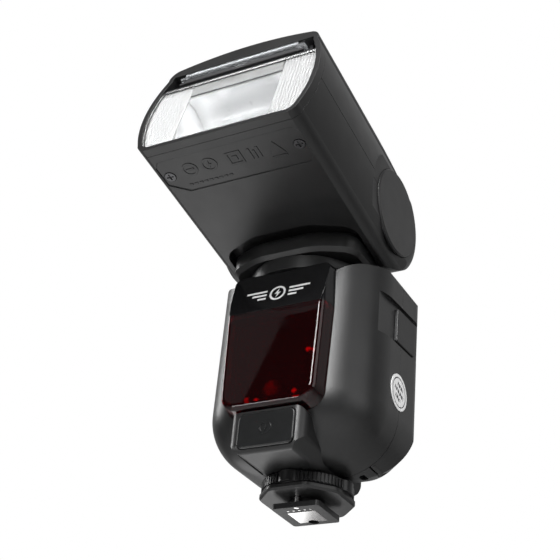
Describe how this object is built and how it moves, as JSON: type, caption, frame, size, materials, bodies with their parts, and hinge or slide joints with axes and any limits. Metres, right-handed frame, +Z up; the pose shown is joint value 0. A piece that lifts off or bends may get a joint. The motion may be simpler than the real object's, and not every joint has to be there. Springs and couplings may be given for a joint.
{
  "type": "speedlight flash",
  "caption": "Shoe-mounted camera flash with a tilting and swivelling head, zoom reflector, pull-out panels, red assist window, hinged battery door and rear controls.",
  "frame": {"origin": "centre of the shoe foot's underside", "axes": "+Z up through the body, -Y out of the front with the red window, +X towards the battery door"},
  "size_m": [0.0728, 0.1125, 0.1582],
  "materials": {
    "casing_plastic": "satin, finely grained",
    "gloss_panel": "glossy",
    "red_window": "glossy, clear dark red",
    "dark_tray": "matte",
    "red_lens": "clear red, glossy",
    "sensor_black": "matte",
    "polished_steel": "polished",
    "steel": "brushed",
    "spring_brass": "plated",
    "cell_wrap": "printed sleeve, no lettering",
    "capacitor_sleeve": "shrink sleeve",
    "circuit_board": "solder mask",
    "display_cover": "clear over grey display",
    "key_rubber": "soft satin",
    "cover_rubber": "soft satin",
    "seal_paper": "printed film",
    "clear_lens": "clear, ribbed",
    "mirror_metal": "vapour-plated",
    "tube_glass": "clear",
    "white_card": "matte white"
  },
  "bodies": {
    "body": {"body_front_shell": "casing_plastic", "body_rear_shell": "casing_plastic", "front_panel": "gloss_panel", "af_window": "red_window", "lamp_tray": "dark_tray", "assist_lens": "red_lens", "status_lamps": "red_lens", "light_sensor": "sensor_black", "foot_block": "casing_plastic", "foot_contacts": "polished_steel", "body_screws": "steel", "door_pin": "steel", "battery_tray": "casing_plastic", "battery_cells": "cell_wrap", "tray_contacts": "spring_brass", "main_capacitor": "capacitor_sleeve", "power_board": "circuit_board", "main_board": "circuit_board", "lcd_cover": "display_cover", "power_socket": "sensor_black", "side_sockets": "polished_steel", "seal_front": "seal_paper"},
    "neck": {"turntable": "casing_plastic", "neck_yoke": "casing_plastic", "swivel_clip": "steel", "tilt_axle": "steel"},
    "head": {"head_upper_shell": "casing_plastic", "head_lower_shell": "casing_plastic", "head_bezel": "casing_plastic", "head_lens": "clear_lens", "zoom_motor": "steel", "guide_rod": "polished_steel", "panel_rail": "casing_plastic", "pivot_caps": "casing_plastic", "head_screws": "steel"},
    "zoom_carriage": {"zoom_carriage": "casing_plastic", "reflector": "mirror_metal", "flash_tube": "tube_glass"},
    "zoom_screw": {"zoom_screw": "steel"},
    "wide_panel": {"wide_panel": "clear_lens"},
    "bounce_card": {"bounce_card": "white_card"},
    "lock_wheel": {"lock_wheel": "casing_plastic"},
    "lock_plate": {"lock_plate": "casing_plastic"},
    "lock_pin": {"lock_pin": "polished_steel"},
    "battery_door": {"battery_door": "casing_plastic", "door_contacts": "spring_brass", "seal_rear": "seal_paper"},
    "door_tab": {"door_tab": "casing_plastic"},
    "power_socket_cover": {"power_socket_cover": "cover_rubber"},
    "side_cover": {"side_cover": "cover_rubber"},
    "key_left": {"key_left": "key_rubber"},
    "key_mid_left": {"key_mid_left": "key_rubber"},
    "key_mid_right": {"key_mid_right": "key_rubber"},
    "key_right": {"key_right": "key_rubber"},
    "mode_button": {"mode_button": "key_rubber"},
    "test_button": {"test_button": "key_rubber"},
    "set_button": {"set_button": "gloss_panel"},
    "select_dial": {"select_dial": "casing_plastic"},
    "power_switch": {"power_switch": "casing_plastic"}
  },
  "joints": [
    {"name": "head_swivel", "type": "hinge", "parent": "body", "child": "neck", "pos_m": [0, -0.0095, 0.09], "axis": [0, 0, 1], "range_deg": [-180, 150]},
    {"name": "head_tilt", "type": "hinge", "parent": "neck", "child": "head", "pos_m": [0, -0.0095, 0.1161], "axis": [-1, 0, 0], "range_deg": [-9.5, 80.5]},
    {"name": "zoom_slide", "type": "slide", "parent": "head", "child": "zoom_carriage", "axis": [0, 0.9863, -0.165], "range_m": [0, 0.013]},
    {"name": "zoom_screw_turn", "type": "hinge", "parent": "head", "child": "zoom_screw", "pos_m": [0.0302, -0.05997, 0.11745], "axis": [0, 0.9863, -0.165], "range_deg": [0, 470]},
    {"name": "wide_panel_slide", "type": "slide", "parent": "head", "child": "wide_panel", "axis": [0, -0.9863, 0.165], "range_m": [0, 0.04]},
    {"name": "bounce_card_slide", "type": "slide", "parent": "head", "child": "bounce_card", "axis": [0, -0.9863, 0.165], "range_m": [0, 0.04]},
    {"name": "lock_wheel_turn", "type": "hinge", "parent": "body", "child": "lock_wheel", "pos_m": [0, 0, 0.00875], "axis": [0, 0, 1], "range_deg": [0, 270]},
    {"name": "lock_plate_drop", "type": "slide", "parent": "body", "child": "lock_plate", "axis": [0, 0, -1], "range_m": [0, 0.001]},
    {"name": "lock_pin_drop", "type": "slide", "parent": "body", "child": "lock_pin", "axis": [0, 0, -1], "range_m": [0, 0.0015]},
    {"name": "battery_door_swing", "type": "hinge", "parent": "body", "child": "battery_door", "pos_m": [0.0243, 0.0049, 0.0179], "axis": [0, 1, 0], "range_deg": [0, 85]},
    {"name": "door_tab_slide", "type": "slide", "parent": "battery_door", "child": "door_tab", "axis": [0, 0, 1], "range_m": [0, 0.0015], "stiffness_N_per_m": 200},
    {"name": "power_cover_swing", "type": "hinge", "parent": "body", "child": "power_socket_cover", "pos_m": [0.0005, -0.0344, 0.0131], "axis": [1, 0, 0], "range_deg": [0, 95]},
    {"name": "side_cover_pull", "type": "slide", "parent": "body", "child": "side_cover", "axis": [-0.7071, 0, -0.7071], "range_m": [0, 0.002]},
    {"name": "key_left_press", "type": "slide", "parent": "body", "child": "key_left", "axis": [0, -1, 0], "range_m": [0, 0.0005], "stiffness_N_per_m": 1500},
    {"name": "key_mid_left_press", "type": "slide", "parent": "body", "child": "key_mid_left", "axis": [0, -1, 0], "range_m": [0, 0.0005], "stiffness_N_per_m": 1500},
    {"name": "key_mid_right_press", "type": "slide", "parent": "body", "child": "key_mid_right", "axis": [0, -1, 0], "range_m": [0, 0.0005], "stiffness_N_per_m": 1500},
    {"name": "key_right_press", "type": "slide", "parent": "body", "child": "key_right", "axis": [0, -1, 0], "range_m": [0, 0.0005], "stiffness_N_per_m": 1500},
    {"name": "mode_button_press", "type": "slide", "parent": "body", "child": "mode_button", "axis": [0, -1, 0], "range_m": [0, 0.0005], "stiffness_N_per_m": 1500},
    {"name": "test_button_press", "type": "slide", "parent": "body", "child": "test_button", "axis": [0, -1, 0], "range_m": [0, 0.0005], "stiffness_N_per_m": 1500},
    {"name": "set_button_press", "type": "slide", "parent": "body", "child": "set_button", "axis": [0, -1, 0], "range_m": [0, 0.0005], "stiffness_N_per_m": 1500},
    {"name": "select_dial_turn", "type": "hinge", "parent": "body", "child": "select_dial", "pos_m": [0, 0.0215, 0.0415], "axis": [0, 1, 0], "continuous": true},
    {"name": "power_switch_slide", "type": "slide", "parent": "body", "child": "power_switch", "axis": [1, 0, 0], "range_m": [0, 0.004]}
  ],
  "couplings": [
    {"joint": "zoom_screw_turn", "follows": "zoom_slide", "rad_per_m": 628.32},
    {"joint": "lock_wheel_turn", "follows": "lock_plate_drop", "rad_per_m": 4712.4},
    {"joint": "lock_pin_drop", "follows": "lock_plate_drop", "ratio": 1.5}
  ]
}
